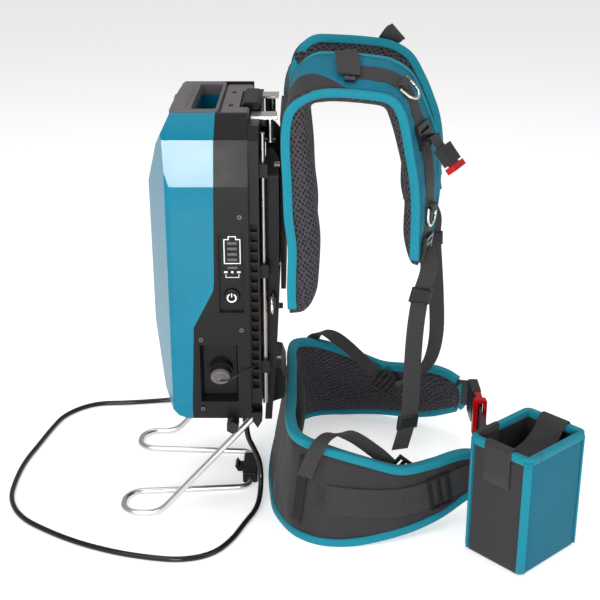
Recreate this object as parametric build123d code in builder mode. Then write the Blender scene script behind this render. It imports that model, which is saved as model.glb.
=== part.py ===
"""Backpack battery power unit on a padded harness, standing on its own bent-wire stand.

Row frame: +X is the way the wearer faces, +Y the wearer's left, +Z up. The origin is the middle of the foot
clamp's underside, on the surface that the unit stands on. All lengths are in millimetres.
"""
from build123d import *
from math import cos, pi, radians, sin
import os

os.makedirs("parts", exist_ok=True)

# ---- driving dimensions -------------------------------------------------------------------------------
WALL = 3.0                  # moulded wall of the housing
FIT = 0.2                   # gap round a piece that sits in a window or a groove
CASE_BOTTOM, CASE_TOP = 143.0, 512.0
CASE_HALF = 131.0           # half width of the housing
CASE_FRONT = 8.0            # where the black case meets the ribbed frame
REAR_X = -112.0             # rearmost face of the cover
SIDE_Y = -130.0             # outer face of the control side
SEAT_Z = 499.0              # ledge that carries the handle and the deck
HANDLE_TOP = 513.0
RIB_BACK, RIB_FRONT = 8.0, 20.0
RIB_HALF, RIB_LOW, RIB_HIGH = 124.0, 150.0, 500.0
RAIL_X, RAIL_Y, RAIL_R = 24.5, 108.0, 3.0
PLATE_HALF = 94.0
WIRE_R = 4.0                # stand wire
CORD_R = 3.5                # power cord
WEB_T = 1.6                 # webbing thickness
PAD_T = 18.0                # shoulder pad thickness
BELT_T = 14.0               # hip belt thickness
BUTTON_X, BUTTON_Z, BUTTON_R = -12.6, 303.0, 9.4
CELL_R, CELL_LONG, CELL_PITCH = 10.6, 70.0, 23.0
CELL_ROWS, CELL_COLUMNS = 10, 7
POUCH_X, POUCH_Y, POUCH_TURN = 333.0, -180.0, 42.0
POUCH_LONG, POUCH_WIDE, POUCH_HIGH, POUCH_WALL = 108.0, 85.0, 153.0, 5.0


def save(piece, label):
    """Labels a finished piece and writes it as its own STEP file."""
    piece.label = label
    export_step(piece, f"parts/{label}.step")


def block(low, high, mode=Mode.ADD):
    """Box between two corners, in whichever part is being built."""
    size = [b - a for a, b in zip(low, high)]
    middle = [(a + b) / 2 for a, b in zip(low, high)]
    with Locations(Location(tuple(middle))):
        return Box(*size, mode=mode)


def band(stations, thickness, span=None, width=None, lift=0.0):
    """Lofted strap or pad, lifted off the faces that its stations describe.

    Each station is the two edges of a face, and the body lies to one side of it. A width narrower than the
    face is kept in its middle.
    """
    edges = [(Vector(*a), Vector(*b)) for a, b in stations]
    middles = [(a + b) / 2 for a, b in edges]
    last = len(edges) - 1
    first_used, last_used = span or (0, last)
    with BuildPart() as made:
        for i in range(first_used, last_used + 1):
            a, b = edges[i]
            along = middles[min(i + 1, last)] - middles[max(i - 1, 0)]
            across = b - a
            along = along - across * (along.dot(across) / across.dot(across))
            with BuildSketch(Plane(origin=middles[i], x_dir=across, z_dir=along)):
                with Locations((0, lift)):
                    Rectangle(width or across.length, thickness, align=(Align.CENTER, Align.MIN))
        loft(ruled=True)
    return made.part


def rod(points, radius, radii):
    """Round bar along straight runs joined by tangent arcs."""
    path = FilletPolyline(*points, radius=radii)
    with BuildPart() as made:
        with BuildSketch(Plane(origin=path @ 0, z_dir=path % 0)):
            Circle(radius)
        sweep(path=path)
    return made.part


# ---- housing ------------------------------------------------------------------------------------------
SIDE_OUTLINE = [(-80, CASE_TOP), (-97, 477), (REAR_X, 425), (-111, 250), (-98, 175), (-80, 148),
                (-70, CASE_BOTTOM), (CASE_FRONT, CASE_BOTTOM), (CASE_FRONT, CASE_TOP)]
END_OUTLINE = [(-100, CASE_TOP), (-124, 487), (-130, 435), (-130, 165), (-122, CASE_BOTTOM),
               (122, CASE_BOTTOM), (130, 165), (130, 435), (124, 487), (100, CASE_TOP)]
PLAN_OUTLINE = [(REAR_X, -60), (-86, -128), (-78, -CASE_HALF), (CASE_FRONT, -CASE_HALF),
                (CASE_FRONT, CASE_HALF), (-78, CASE_HALF), (-86, 128), (REAR_X, 60)]
COVER_REGION = [(-200, 600), (-26, 600), (-30, 477), (-33, 322), (-34, 311), (-58, 265), (-63, 154),
                (-61, 100), (-200, 100)]
TRAY_LOW, TRAY_HIGH = (-62.0, -82.0, 465.0), (-26.0, 82.0, SEAT_Z)      # tray under the carry handle
TRAY_WALL = 4.0


def outline(points, inset=0.0):
    """Closed polygon in the sketch being built, drawn in by inset."""
    Polygon(*points, align=None)
    if inset:
        offset(amount=-inset, kind=Kind.INTERSECTION, mode=Mode.REPLACE)


def housing_form(inset=0.0):
    """Faceted body of the housing, from its side, end and plan outlines."""
    with BuildPart() as form:
        with BuildSketch(Plane.XZ):
            outline(SIDE_OUTLINE, inset)
        extrude(amount=200, both=True)
        with BuildSketch(Plane.YZ):
            outline(END_OUTLINE, inset)
        extrude(amount=300, both=True, mode=Mode.INTERSECT)
        with BuildSketch(Plane.XY):
            outline(PLAN_OUTLINE, inset)
        extrude(amount=600, mode=Mode.INTERSECT)
    return form.part


with BuildPart() as hollow_body:
    add(housing_form())
    with BuildPart(mode=Mode.PRIVATE) as cavity:
        add(housing_form(WALL))
        block((-90, -97, SEAT_Z - WALL), (40, 97, 600), Mode.SUBTRACT)
        block((-10, -100, 100), (CASE_FRONT - 0.01, 100, 490))
    add(cavity.part, mode=Mode.SUBTRACT)
    block((-90, -94, SEAT_Z), (40, 94, 600), Mode.SUBTRACT)            # seat for the handle and deck
    block(TRAY_LOW, TRAY_HIGH, Mode.SUBTRACT)                          # opening that the tray fills
    block((CASE_FRONT - WALL - 1, -110, 160), (CASE_FRONT + 1, 110, 488), Mode.SUBTRACT)   # open front

with BuildPart() as handle_tray:
    block(TRAY_LOW, TRAY_HIGH)
    block((TRAY_LOW[0] + TRAY_WALL, TRAY_LOW[1] + TRAY_WALL, TRAY_LOW[2] + WALL),
          (TRAY_HIGH[0] - TRAY_WALL, TRAY_HIGH[1] - TRAY_WALL, SEAT_Z + 1), Mode.SUBTRACT)
save(handle_tray.part, "handle_tray")

with BuildPart() as rear_cover:
    with BuildSketch(Plane.XZ):
        outline(COVER_REGION)
    extrude(amount=200, both=True)
    add(hollow_body.part, mode=Mode.INTERSECT)
save(rear_cover.part, "rear_cover")

GAUGE_LOW, GAUGE_HIGH = (-29.0, 282.0), (3.5, 381.0)
SOCKET_LOW, SOCKET_HIGH = (-54.0, 167.0), (-5.0, 245.0)
with BuildPart() as main_case:
    add(hollow_body.part)
    with BuildSketch(Plane.XZ):
        outline(COVER_REGION)
    extrude(amount=200, both=True, mode=Mode.SUBTRACT)
    for low, high in ((GAUGE_LOW, GAUGE_HIGH), (SOCKET_LOW, SOCKET_HIGH)):
        block((low[0], SIDE_Y - 5, low[1]), (high[0], SIDE_Y + 8, high[1]), Mode.SUBTRACT)
save(main_case.part, "main_case")

with BuildPart() as rib_frame:
    block((RIB_BACK, -RIB_HALF, RIB_LOW), (RIB_FRONT, RIB_HALF, RIB_HIGH))
    chamfer(rib_frame.edges().filter_by(Axis.X), 14)
    block((RIB_BACK - 1, -112, 162), (RIB_FRONT - WALL, 112, 488), Mode.SUBTRACT)
    with BuildSketch(Plane.XZ) as pockets:
        with Locations((14, 287)):
            with GridLocations(0, 12.3, 1, 17):
                Rectangle(8, 9.4)
    extrude(amount=RIB_HALF + 1, both=True, mode=Mode.SUBTRACT)
    for side in (-1, 1):
        block((RIB_BACK, min(side * 116, side * 111), 162), (RIB_FRONT, max(side * 116, side * 111), 488))
    block((RIB_BACK, -112, 300), (12, 112, 306))
save(rib_frame.part, "rib_frame")

with BuildPart() as carry_handle:
    with BuildSketch(Plane.XY.offset(SEAT_Z)):
        with Locations((-54, 0)):
            RectangleRounded(56, 186, 9)
        with Locations((-44, 0)):
            RectangleRounded(28, 156, 5, mode=Mode.SUBTRACT)
    extrude(amount=HANDLE_TOP - SEAT_Z)
    fillet(carry_handle.edges().group_by(Axis.Z)[-1], 1.5)
save(carry_handle.part, "carry_handle")

DECK_TOP = 503.0
with BuildPart() as top_deck:
    block((-26, -93, SEAT_Z), (CASE_FRONT, 93, DECK_TOP + 6))
    chamfer(top_deck.edges().filter_by(Axis.Y).group_by(Axis.Z)[-1], 2)
    block((-4, -50, DECK_TOP), (CASE_FRONT + 1, 50, 600), Mode.SUBTRACT)
    with Locations((-14, -40, DECK_TOP + 6), (-14, 40, DECK_TOP + 6)):
        Box(5, 14, 5, mode=Mode.SUBTRACT)
save(top_deck.part, "top_deck")

with BuildPart() as top_cleat:
    with BuildSketch(Plane.XZ.offset(-44)):
        outline([(-3, 508), (2, 513.5), (16, 513.5), (21, 508), (16, DECK_TOP), (2, DECK_TOP)])
    extrude(amount=88)
    fillet(top_cleat.faces().filter_by(Axis.Y).edges(), 1)
save(top_cleat.part, "top_cleat")

# ---- gauge, button and socket on the control side -------------------------------------------------------
GAUGE_FLOOR = SIDE_Y + 5
with BuildPart() as gauge_bezel:
    block((GAUGE_LOW[0] + FIT, SIDE_Y, GAUGE_LOW[1] + FIT),
          (GAUGE_HIGH[0] - FIT, GAUGE_FLOOR + 2, GAUGE_HIGH[1] - FIT))
    block((GAUGE_LOW[0] + 2, SIDE_Y - 1, GAUGE_LOW[1] + 2),
          (GAUGE_HIGH[0] - 2, GAUGE_FLOOR, GAUGE_HIGH[1] - 2), Mode.SUBTRACT)
    block((-24, GAUGE_FLOOR - 1.5, 322), (0, GAUGE_FLOOR, 378))
    with BuildSketch(Plane.XZ.offset(-SIDE_Y)):
        with Locations((BUTTON_X, BUTTON_Z)):
            Circle(BUTTON_R + 0.3)
    extrude(amount=-20, mode=Mode.SUBTRACT)
save(gauge_bezel.part, "gauge_bezel")

PRINT_Y = GAUGE_FLOOR - 1.5
with BuildPart() as gauge_markings:
    with BuildSketch(Plane.XZ.offset(-PRINT_Y)):
        outline([(-21, 343), (-1.6, 343), (-1.6, 373), (-6.5, 373), (-6.5, 376.5), (-16, 376.5),
                 (-16, 373), (-21, 373)])
        offset(amount=-1.1, kind=Kind.INTERSECTION, mode=Mode.SUBTRACT)
        for x, z, wide, high in ((-19, 328.6, 0.7, 4), (-4, 328.6, 0.7, 4), (-11.5, 326.6, 15.7, 0.7),
                                 (-19, 333, 4, 2), (-11.5, 333, 2.5, 2.5), (-4, 333, 4, 2)):
            with Locations((x, z)):
                Rectangle(wide, high)
    extrude(amount=0.3)
save(gauge_markings.part, "gauge_markings")

with BuildPart() as charge_lamps:
    with BuildSketch(Plane.XZ.offset(-PRINT_Y)):
        with Locations((-11.3, 358)):
            with GridLocations(0, 6.6, 1, 4):
                Rectangle(11, 3)
        with Locations((-11.3, 338.3)):
            Rectangle(11, 2.6)
    extrude(amount=0.4)
save(charge_lamps.part, "charge_lamps")

with BuildPart() as power_button:
    with BuildSketch(Plane.XZ.offset(-(SIDE_Y + 1.5))):
        with Locations((BUTTON_X, BUTTON_Z)):
            Circle(BUTTON_R)
    extrude(amount=-8)
    fillet(power_button.edges().group_by(Axis.Y)[0], 1.2)
    with BuildSketch(Plane.XZ.offset(-(GAUGE_FLOOR + 2.3))):
        with Locations((BUTTON_X, BUTTON_Z)):
            Circle(BUTTON_R + 1.6)
    extrude(amount=-1.2)
    with BuildSketch(Plane.XZ.offset(-(SIDE_Y + 1.5))):
        with Locations((BUTTON_X, BUTTON_Z)):
            Circle(5.6)
            Circle(4.2, mode=Mode.SUBTRACT)
    extrude(amount=0.3)
    with BuildSketch(Plane.XZ.offset(-(SIDE_Y + 1.5))):
        with Locations((BUTTON_X, BUTTON_Z)):
            Rectangle(1.2, 4)
    extrude(amount=0.3)
save(power_button.part, "power_button")

SOCKET_FLOOR = SIDE_Y + 18
SOCKET_TILT = 25.0
SOCKET_AXIS = (0, -cos(radians(SOCKET_TILT)), -sin(radians(SOCKET_TILT)))
SOCKET_FACE = Plane(origin=(-28.6, -123.5, 201.2), x_dir=(1, 0, 0), z_dir=SOCKET_AXIS)
with BuildPart() as socket_bezel:
    block((SOCKET_LOW[0] + FIT, SIDE_Y, SOCKET_LOW[1] + FIT),
          (SOCKET_HIGH[0] - FIT, SOCKET_FLOOR + 2, SOCKET_HIGH[1] - FIT))
    with BuildSketch(Plane.XZ.offset(-SIDE_Y)):
        with Locations((-29.5, 206)):
            Rectangle(45, 74)
    extrude(amount=-18, taper=9, mode=Mode.SUBTRACT)
    with BuildSketch(SOCKET_FACE):
        Circle(12.7)
    extrude(amount=-40, mode=Mode.SUBTRACT)
save(socket_bezel.part, "socket_bezel")

with BuildPart() as output_socket:
    with BuildSketch(SOCKET_FACE):
        Circle(12.5)
    extrude(amount=-26)
    with BuildSketch(SOCKET_FACE.offset(-6)):
        Circle(14.5)
    extrude(amount=-3)
    with BuildSketch(SOCKET_FACE):
        Circle(8)
    extrude(amount=-14, mode=Mode.SUBTRACT)
    add(socket_bezel.part, mode=Mode.SUBTRACT)
save(output_socket.part, "output_socket")

with BuildPart() as socket_cap:
    with BuildSketch(SOCKET_FACE.offset(0.3)):
        Circle(11.5)
    extrude(amount=5)
    fillet(socket_cap.edges().sort_by(Axis.Y)[0], 1.5)
    with BuildSketch(SOCKET_FACE.offset(0.3)):
        Circle(7.8)
    extrude(amount=-10)
    with BuildSketch(SOCKET_FACE.offset(5.3)):
        Circle(7)
        Circle(5.6, mode=Mode.SUBTRACT)
    extrude(amount=0.8)
save(socket_cap.part, "socket_cap")

TETHER_R = 1.0
tether_route = [(-28.6, -131.4, 197.6), (-17, -138.5, 202), (-4, -137, 209), (8, -132, 213),
                (15, -124.5, 214.5)]
cap_tether = rod(tether_route, TETHER_R, [9, 14, 9])
save(cap_tether, "cap_tether")

# ---- what the housing holds ---------------------------------------------------------------------------
CELL_X, CELL_MIDDLE_Z = -88.0, 300.0
with BuildPart() as battery_cells:
    with BuildSketch(Plane.YZ.offset(CELL_X)):
        with Locations((0, CELL_MIDDLE_Z)):
            with GridLocations(CELL_PITCH, CELL_PITCH, CELL_COLUMNS, CELL_ROWS):
                Circle(CELL_R)
    extrude(amount=CELL_LONG)
save(battery_cells.part, "battery_cells")

with BuildPart() as cell_carriers:
    for start in (CELL_X - 3, CELL_X + CELL_LONG - 7):
        with BuildSketch(Plane.YZ.offset(start)):
            with Locations((0, CELL_MIDDLE_Z)):
                RectangleRounded(CELL_COLUMNS * CELL_PITCH + 8, CELL_ROWS * CELL_PITCH + 8, 8)
        extrude(amount=10)
    add(battery_cells.part, mode=Mode.SUBTRACT)
save(cell_carriers.part, "cell_carriers")

with BuildPart() as control_board:
    block((-13, -85, 180), (-11.2, 85, 420))
    for y, z, high in ((-50, 380, 9), (10, 390, 12), (50, 340, 7), (-30, 230, 10), (40, 220, 6)):
        block((-11.2, y - 12, z - 9), (-11.2 + high, y + 12, z + 9))
save(control_board.part, "control_board")

with BuildPart() as corner_bumpers:
    for side in (-1, 1):
        with BuildSketch(Plane.XZ.offset(side * 134)):
            with Locations((-15, 135.5)):
                RegularPolygon(8, 6, rotation=30)
        extrude(amount=-side * 24)
    block((-40, -140, CASE_BOTTOM), (20, 140, 200), Mode.SUBTRACT)
save(corner_bumpers.part, "corner_bumpers")

with BuildPart() as case_screws:
    for side in (-1, 1):
        for x, z in ((-2, 262), (-50, 250), (-2, 400), (-50, 160)):
            with BuildSketch(Plane.XZ.offset(side * 130)):
                with Locations((x, z)):
                    Circle(2.6)
                    RegularPolygon(1.3, 6, mode=Mode.SUBTRACT)
            extrude(amount=side * 1.0)

# ---- stand --------------------------------------------------------------------------------------------
STAND_HALF_IN, STAND_HALF_OUT, STAND_REAR, CROSSBAR_Z = 56.0, 112.0, -160.0, 5.0
near_wire = [(13, -110, 142.5), (-112, -STAND_HALF_OUT, WIRE_R), (STAND_REAR, -STAND_HALF_OUT, WIRE_R),
             (STAND_REAR, -STAND_HALF_IN - 4, WIRE_R), (0, -48, CROSSBAR_Z)]
far_wire = [(x, -y, z) for x, y, z in reversed(near_wire)]
stand_wire = rod(near_wire + far_wire, WIRE_R, [34, 24, 24, 14, 14, 24, 24, 34])
save(stand_wire, "stand_wire")

with BuildPart() as foot_clamp:
    with BuildSketch():
        RectangleRounded(20, 58, 4)
    extrude(amount=15)
    fillet(foot_clamp.edges().group_by(Axis.Z)[-1], 2.5)
    with BuildSketch(Plane.XZ.offset(-9)):
        outline([(-9, 6), (-17, 6), (-21, 13), (-18, 18), (-16, 14), (-14, 12), (-9, 12)])
    extrude(amount=18)
    add(stand_wire, mode=Mode.SUBTRACT)
save(foot_clamp.part, "foot_clamp")

with BuildPart() as stand_brackets:
    for side in (-1, 1):
        with BuildSketch(Plane.XZ.offset(side * 121)):
            outline([(8.5, RIB_LOW), (20.5, RIB_LOW), (20.5, 139), (15, 129), (8.5, 139)])
        extrude(amount=-side * 20)
    add(stand_wire, mode=Mode.SUBTRACT)
save(stand_brackets.part, "stand_brackets")

# ---- harness frame ------------------------------------------------------------------------------------
with BuildPart() as frame_rails:
    with BuildSketch(Plane.XY.offset(158)):
        with Locations((RAIL_X, -RAIL_Y), (RAIL_X, RAIL_Y)):
            Circle(RAIL_R)
    extrude(amount=334)
save(frame_rails.part, "frame_rails")

with BuildPart() as rail_clips:
    for z in (209, 330, 450):
        for side in (-1, 1):
            block((RIB_FRONT, min(side * 96, side * 117), z - 8), (30, max(side * 96, side * 117), z + 8))
            block((RIB_FRONT, min(side * 78, side * 97), z - 8), (27, max(side * 78, side * 97), z + 8))
    with BuildSketch(Plane.XY.offset(150)):
        with Locations((RAIL_X, -RAIL_Y), (RAIL_X, RAIL_Y)):
            Circle(RAIL_R + 0.1)
    extrude(amount=350, mode=Mode.SUBTRACT)
save(rail_clips.part, "rail_clips")

with BuildPart() as back_plate:
    with BuildSketch(Plane.XZ):
        outline([(22.5, 117), (27, 200), (27, 464), (34, 468), (42, 456), (41.5, 288), (38, 209), (31, 117)])
    extrude(amount=PLATE_HALF, both=True)
    with BuildSketch(Plane.YZ) as plate_shape:
        outline([(-80, 117), (-PLATE_HALF, 200), (-PLATE_HALF, 440), (-70, 468), (70, 468), (PLATE_HALF, 440),
                 (PLATE_HALF, 200), (80, 117)])
        fillet(plate_shape.vertices(), 12)
    extrude(amount=100, mode=Mode.INTERSECT)
    with BuildSketch(Plane.YZ):
        with GridLocations(92, 0, 2, 1):
            with Locations((0, 240), (0, 400)):
                SlotOverall(100, 34, rotation=90)
        with Locations((0, 420), (0, 300)):
            SlotOverall(60, 10)
    extrude(amount=100, mode=Mode.SUBTRACT)
save(back_plate.part, "back_plate")

with BuildPart() as plate_screws:
    for z in (209, 330, 450):
        with BuildSketch(Plane.YZ.offset(37)):
            with Locations((-86, z), (86, z)):
                Circle(4)
        extrude(amount=6.5)
    add(back_plate.part, mode=Mode.SUBTRACT)
save(Compound([*case_screws.part.solids(), *plate_screws.part.solids()]), "screws")

with BuildPart() as hip_bracket:
    with BuildSketch(Plane.XZ):
        outline([(30, 126), (46, 132), (48, 145), (47.5, 160), (43, 173), (30, 176)])
    extrude(amount=42, both=True)
    fillet(hip_bracket.edges().filter_by(Axis.Y), 1.5)
    add(back_plate.part, mode=Mode.SUBTRACT)
save(hip_bracket.part, "hip_bracket")

with BuildPart() as harness_bracket:
    for side in (-1, 1):
        block((10, min(side * 46, side * 76), RIB_HIGH + 0.2), (40, max(side * 46, side * 76), RIB_HIGH + 3.2))
        with BuildSketch(Plane.XY.offset(471)):
            with Locations((32, side * 61)):
                Circle(4)
        extrude(amount=30)
        with BuildSketch(Plane.XY.offset(471)):
            with Locations((32, side * 61)):
                Circle(6)
        extrude(amount=3)
save(harness_bracket.part, "harness_bracket")

# ---- shoulder harness ---------------------------------------------------------------------------------
# Each station is a point on the inner edge and one on the outer edge of the strap's outward face.
STRAP_OUT, STRAP_IN = 131.0, 69.0


def strap_stations(side, reach):
    """Shoulder strap from the top of the back pad, over the shoulder and down the front."""
    inner = [(54, 503), (56, 535), (67, 560), (84, 573), (107, 574), (146, 571), (171, 566), (192, 552),
             (206, 527), (217, 500), (226, 470), (230, 430), (226, 380), (216, 340)]
    outer = [(50, 496), (51, 518), (61, 531), (80, 539), (104, 542), (144, 539), (166, 534), (178, 521),
             (185, 500), (190, 475), (195, 450), (199, 419), (200, 378), (200, 338)]

    def forward(x):
        return x + reach * max(x - 100, 0) / 100

    return [((forward(a[0]), side * STRAP_IN, a[1]), (forward(b[0]), side * STRAP_OUT, b[1]))
            for a, b in zip(inner, outer)]


def facing_in(stations, side):
    """Puts each station's edges in the order that builds the body towards the wearer."""
    return stations if side < 0 else [(b, a) for a, b in stations]


def d_ring(place, wide, wire):
    """Bent D ring lying in a plane, its straight bar along the plane's x direction."""
    half = wide / 2
    with BuildPart() as made:
        with BuildLine(place) as path:
            Polyline((0, 0), (half, 0), (half, -half * 0.6))
            ThreePointArc((half, -half * 0.6), (0, -half * 1.6), (-half, -half * 0.6))
            Polyline((-half, -half * 0.6), (-half, 0), (0, 0))
        with BuildSketch(Plane(origin=path.line @ 0, z_dir=path.line % 0)):
            Circle(wire)
        sweep(path=path.line, transition=Transition.RIGHT)
    return made.part


def strap_plane(side, reach, station, height):
    """Plane on the outward side of a shoulder strap, its y direction up the strap."""
    faces = strap_stations(side, reach)
    i, part_way = int(station), station % 1
    ends = [[Vector(*faces[k][edge]) for edge in (0, 1)] for k in (i, i + 1)]
    inner, outer = [ends[0][edge] * (1 - part_way) + ends[1][edge] * part_way for edge in (0, 1)]
    along = (ends[1][0] + ends[1][1] - ends[0][0] - ends[0][1]).normalized()
    normal = (along.cross(outer - inner) * side).normalized()
    return Plane(origin=(inner + outer) / 2 + normal * height, x_dir=normal.cross(along), z_dir=normal)


def slab(place, low, high):
    """Box between two corners given in a plane's own directions."""
    size = [b - a for a, b in zip(low, high)]
    middle = [(a + b) / 2 for a, b in zip(low, high)]
    return place.location * Pos(*middle) * Box(*size)


def ladder_lock(place):
    """Ladder lock buckle, a plate with three slots for the webbing."""
    lock = slab(place, (-17, -14, 0), (17, 14, 4))
    for step in (-8, 0, 8):
        lock -= slab(place, (-13, step - 2, -1), (13, step + 2, 5))
    return lock


FAR_REACH = 14.0
WEB_LIFT, WEB_WIDE = 0.5, 25.0
WEB_TOP = WEB_LIFT + WEB_T
RING_WIDE, RING_WIRE = 27.0, 1.7
SLIDER_STATION, RING_STATION, LOCK_STATION = 9.0, 11.45, 12.55
LIFTER_RING_STATION, LIFTER_BAR_STATION = 6.6, 4.4
BUCKLE_LEAN = radians(32)                # how far the near half of the sternum buckle stands off the strap
BAR_SET, BAR_HEIGHT = -7.0, 9.5          # a sternum slider's bar, from the middle of its plate
webbings, keepers, locks, padding = [], [], [], []


def ring_keeper(place):
    """Folded webbing loop that holds a D ring's bar, open along the bar."""
    loop = slab(place, (-9, -4.5, -2.9), (9, 4.5, 3.9))
    return loop - slab(place, (-10, -2.6, -2.1), (10, 2.6, 2.3))


for name, side, reach in (("near", -1, 0.0), ("far", 1, FAR_REACH)):
    stations = strap_stations(side, reach)
    save(band(facing_in(stations, side), PAD_T), f"{name}_shoulder_strap")

    low_y, high_y = sorted((side * STRAP_IN, side * STRAP_OUT))
    with BuildPart() as back_pad:
        with BuildSketch(Plane.XZ.offset(-low_y)):
            outline([(47, 494), (53, 440), (54, 362), (53, 316), (54, 282), (60, 272), (72, 268), (84, 275),
                     (91, 292), (92, 340), (90, 374), (85, 438), (80, 494)])
        extrude(amount=-(high_y - low_y))
        fillet(back_pad.edges().filter_by(Axis.X), 6)
    padding.append(back_pad.part)

    webbings.append(band(facing_in(stations, -side), WEB_T, span=(2, len(stations) - 1), width=WEB_WIDE,
                         lift=WEB_LIFT))
    slider_place = strap_plane(side, reach, SLIDER_STATION, WEB_TOP + 0.4)
    slider = slab(slider_place, (-17, -14, 0), (17, 14, 3)) - slab(slider_place, (-12, 4, -1), (12, 8, 4))
    for edge in (-1, 1):
        lip, lug = sorted((edge * 13.4, edge * 17)), sorted((edge * 13.5, edge * 17))
        slider += slab(slider_place, (lip[0], -14, -1.4), (lip[1], 14, 0))
        slider += slab(slider_place, (lug[0], -10, 3), (lug[1], -4, BAR_HEIGHT + 2.5))
    slider += slider_place.location * Pos(0, BAR_SET, BAR_HEIGHT) * Rot(0, 90, 0) * Cylinder(1.5, 34)
    save(slider, f"{name}_sternum_slider")

    locks.append(ladder_lock(strap_plane(side, reach, LOCK_STATION, WEB_TOP + 0.9)))

for name, station in (("lifter", LIFTER_RING_STATION), ("strap", RING_STATION)):
    ring_place = strap_plane(-1, 0, station, WEB_TOP + 3.1)
    keepers.append(ring_keeper(ring_place))
    save(d_ring(ring_place, RING_WIDE, RING_WIRE), f"{name}_ring")
bar_place = strap_plane(-1, 0, LIFTER_BAR_STATION, WEB_TOP + 0.3)
locks.append(slab(bar_place, (-19, -6, 0), (19, 6, 3.5)) - slab(bar_place, (-13, -1.5, -1), (13, 1.5, 4)))

# ---- sternum buckle halves, hanging from their sliders --------------------------------------------------
def hanging_plane(side, reach):
    """Plane at a slider's bar, along which its buckle half lies on the strap."""
    bar = strap_plane(side, reach, SLIDER_STATION, WEB_TOP + 0.4).location * Pos(0, BAR_SET, BAR_HEIGHT)
    below = strap_plane(side, reach, SLIDER_STATION + 1.4, 0)
    return Plane(origin=bar.position, x_dir=below.x_dir, z_dir=below.z_dir)


def bar_loop(place, drop, wide=22.0):
    """Webbing loop round a slider's bar, with the tail that hangs from it."""
    half = wide / 2
    wrap = slab(place, (-half, -4, -4), (half, 4, 4)) - slab(place, (-wide, -2.6, -2.6), (wide, 2.6, 2.6))
    return wrap + slab(place, (-half, -drop, 2.6), (half, -3, 4))


flat = hanging_plane(-1, 0.0)
near_hang = Plane(origin=flat.origin, x_dir=flat.x_dir,
                  z_dir=flat.z_dir * cos(BUCKLE_LEAN) + flat.y_dir * sin(BUCKLE_LEAN))
save(bar_loop(near_hang, 12), "near_sternum_webbing")
clasp = slab(near_hang, (-15, -34, 0), (15, -12, 10)) - slab(near_hang, (-11, -35, 2.4), (11, -17, 7.6))
save(clasp, "sternum_buckle_body")
release = slab(near_hang, (-16, -43, -0.5), (16, -36, 10.5))
for low, high in ((2.7, 4.4), (5.6, 7.3)):
    release += slab(near_hang, (-10.7, -36, low), (10.7, -22, high))
save(release, "sternum_release_button")

far_hang = hanging_plane(1, FAR_REACH)
save(bar_loop(far_hang, 84), "far_sternum_webbing")
clip = slab(far_hang, (-14, -96, -1), (14, -84, 5))
for edge in (-10, 0, 10):
    clip += slab(far_hang, (edge - 2, -116, 0), (edge + 2, -96, 4))
save(clip, "sternum_buckle_clip")

with BuildPart() as yoke_fabric:
    block((43, -68, 290), (50, 68, 500))
    fillet(yoke_fabric.edges().filter_by(Axis.X), 14)
save(Compound([*padding, yoke_fabric.part]), "back_padding")
save(Compound(webbings), "strap_webbing")

# ---- hip belt -----------------------------------------------------------------------------------------
near_belt = [((300, -112, 42), (302, -108, 86)), ((262, -128, 28), (270, -126, 98)),
             ((225, -150, 16), (235, -141, 94)), ((185, -170, 9), (190, -156, 93)),
             ((140, -181, 2), (130, -165, 110)), ((95, -178, 1), (87, -160, 123)),
             ((58, -152, 1), (58, -142, 132)), ((36, -110, 2), (51, -106, 136)),
             ((29, -60, 3), (52, -60, 136)), ((26, 0, 3), (52, 0, 136))]


def mirrored(stations):
    """The same stations on the other side of the middle plane."""
    return [tuple((x, -y, z) for x, y, z in station) for station in stations]


whole_belt = near_belt + mirrored(reversed(near_belt[:-1]))
CORNER_STATION = 6


def belt_piece(first, last):
    """Part of the hip belt between two of its stations."""
    return band(whole_belt, BELT_T, span=(first, last))


save(belt_piece(0, CORNER_STATION), "near_belt_wing")
save(belt_piece(CORNER_STATION, len(whole_belt) - 1 - CORNER_STATION), "lumbar_pad")
save(belt_piece(len(whole_belt) - 1 - CORNER_STATION, len(whole_belt) - 1), "far_belt_wing")

BUCKLE_X, BUCKLE_Y, BUCKLE_Z = 305.0, 40.0, 84.0
BUCKLE_NEAR, BUCKLE_FAR = BUCKLE_Y - 34, BUCKLE_Y + 30
BELT_WEB_WIDE = 38.0
front_x, high, low = BUCKLE_X - 0.5, BUCKLE_Z + 18, BUCKLE_Z - 18
outside = [(top, bottom) for bottom, top in near_belt[:CORNER_STATION + 1]]
front = [((306, -78, 94), (306, -78, 58))]
near_end = [((front_x, BUCKLE_NEAR - 0.4, high), (front_x, BUCKLE_NEAR - 0.4, low))]
far_end = [((front_x, BUCKLE_FAR + 0.4, high), (front_x, BUCKLE_FAR + 0.4, low))]
far_stations = [(below, above) for above, below in far_end + mirrored(outside)]
belt_webs = [band(near_end + front + outside, WEB_T, width=BELT_WEB_WIDE, lift=WEB_LIFT),
             band(far_stations, WEB_T, width=BELT_WEB_WIDE, lift=WEB_LIFT)]
save(Compound(belt_webs), "belt_webbing")

near_web = [(217, 112, 334), (208, 116, 300), (203, 118, 258), (201, 119, 205), (201, 118, 172),
            (198, 116, 135), (190, 113, 96)]
far_web = [(246, 108, 330), (247, 106, 298), (255, 108, 212), (257, 110, 152), (247, 112, 110),
           (222, 113, 88), (204, 113, 78)]
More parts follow.
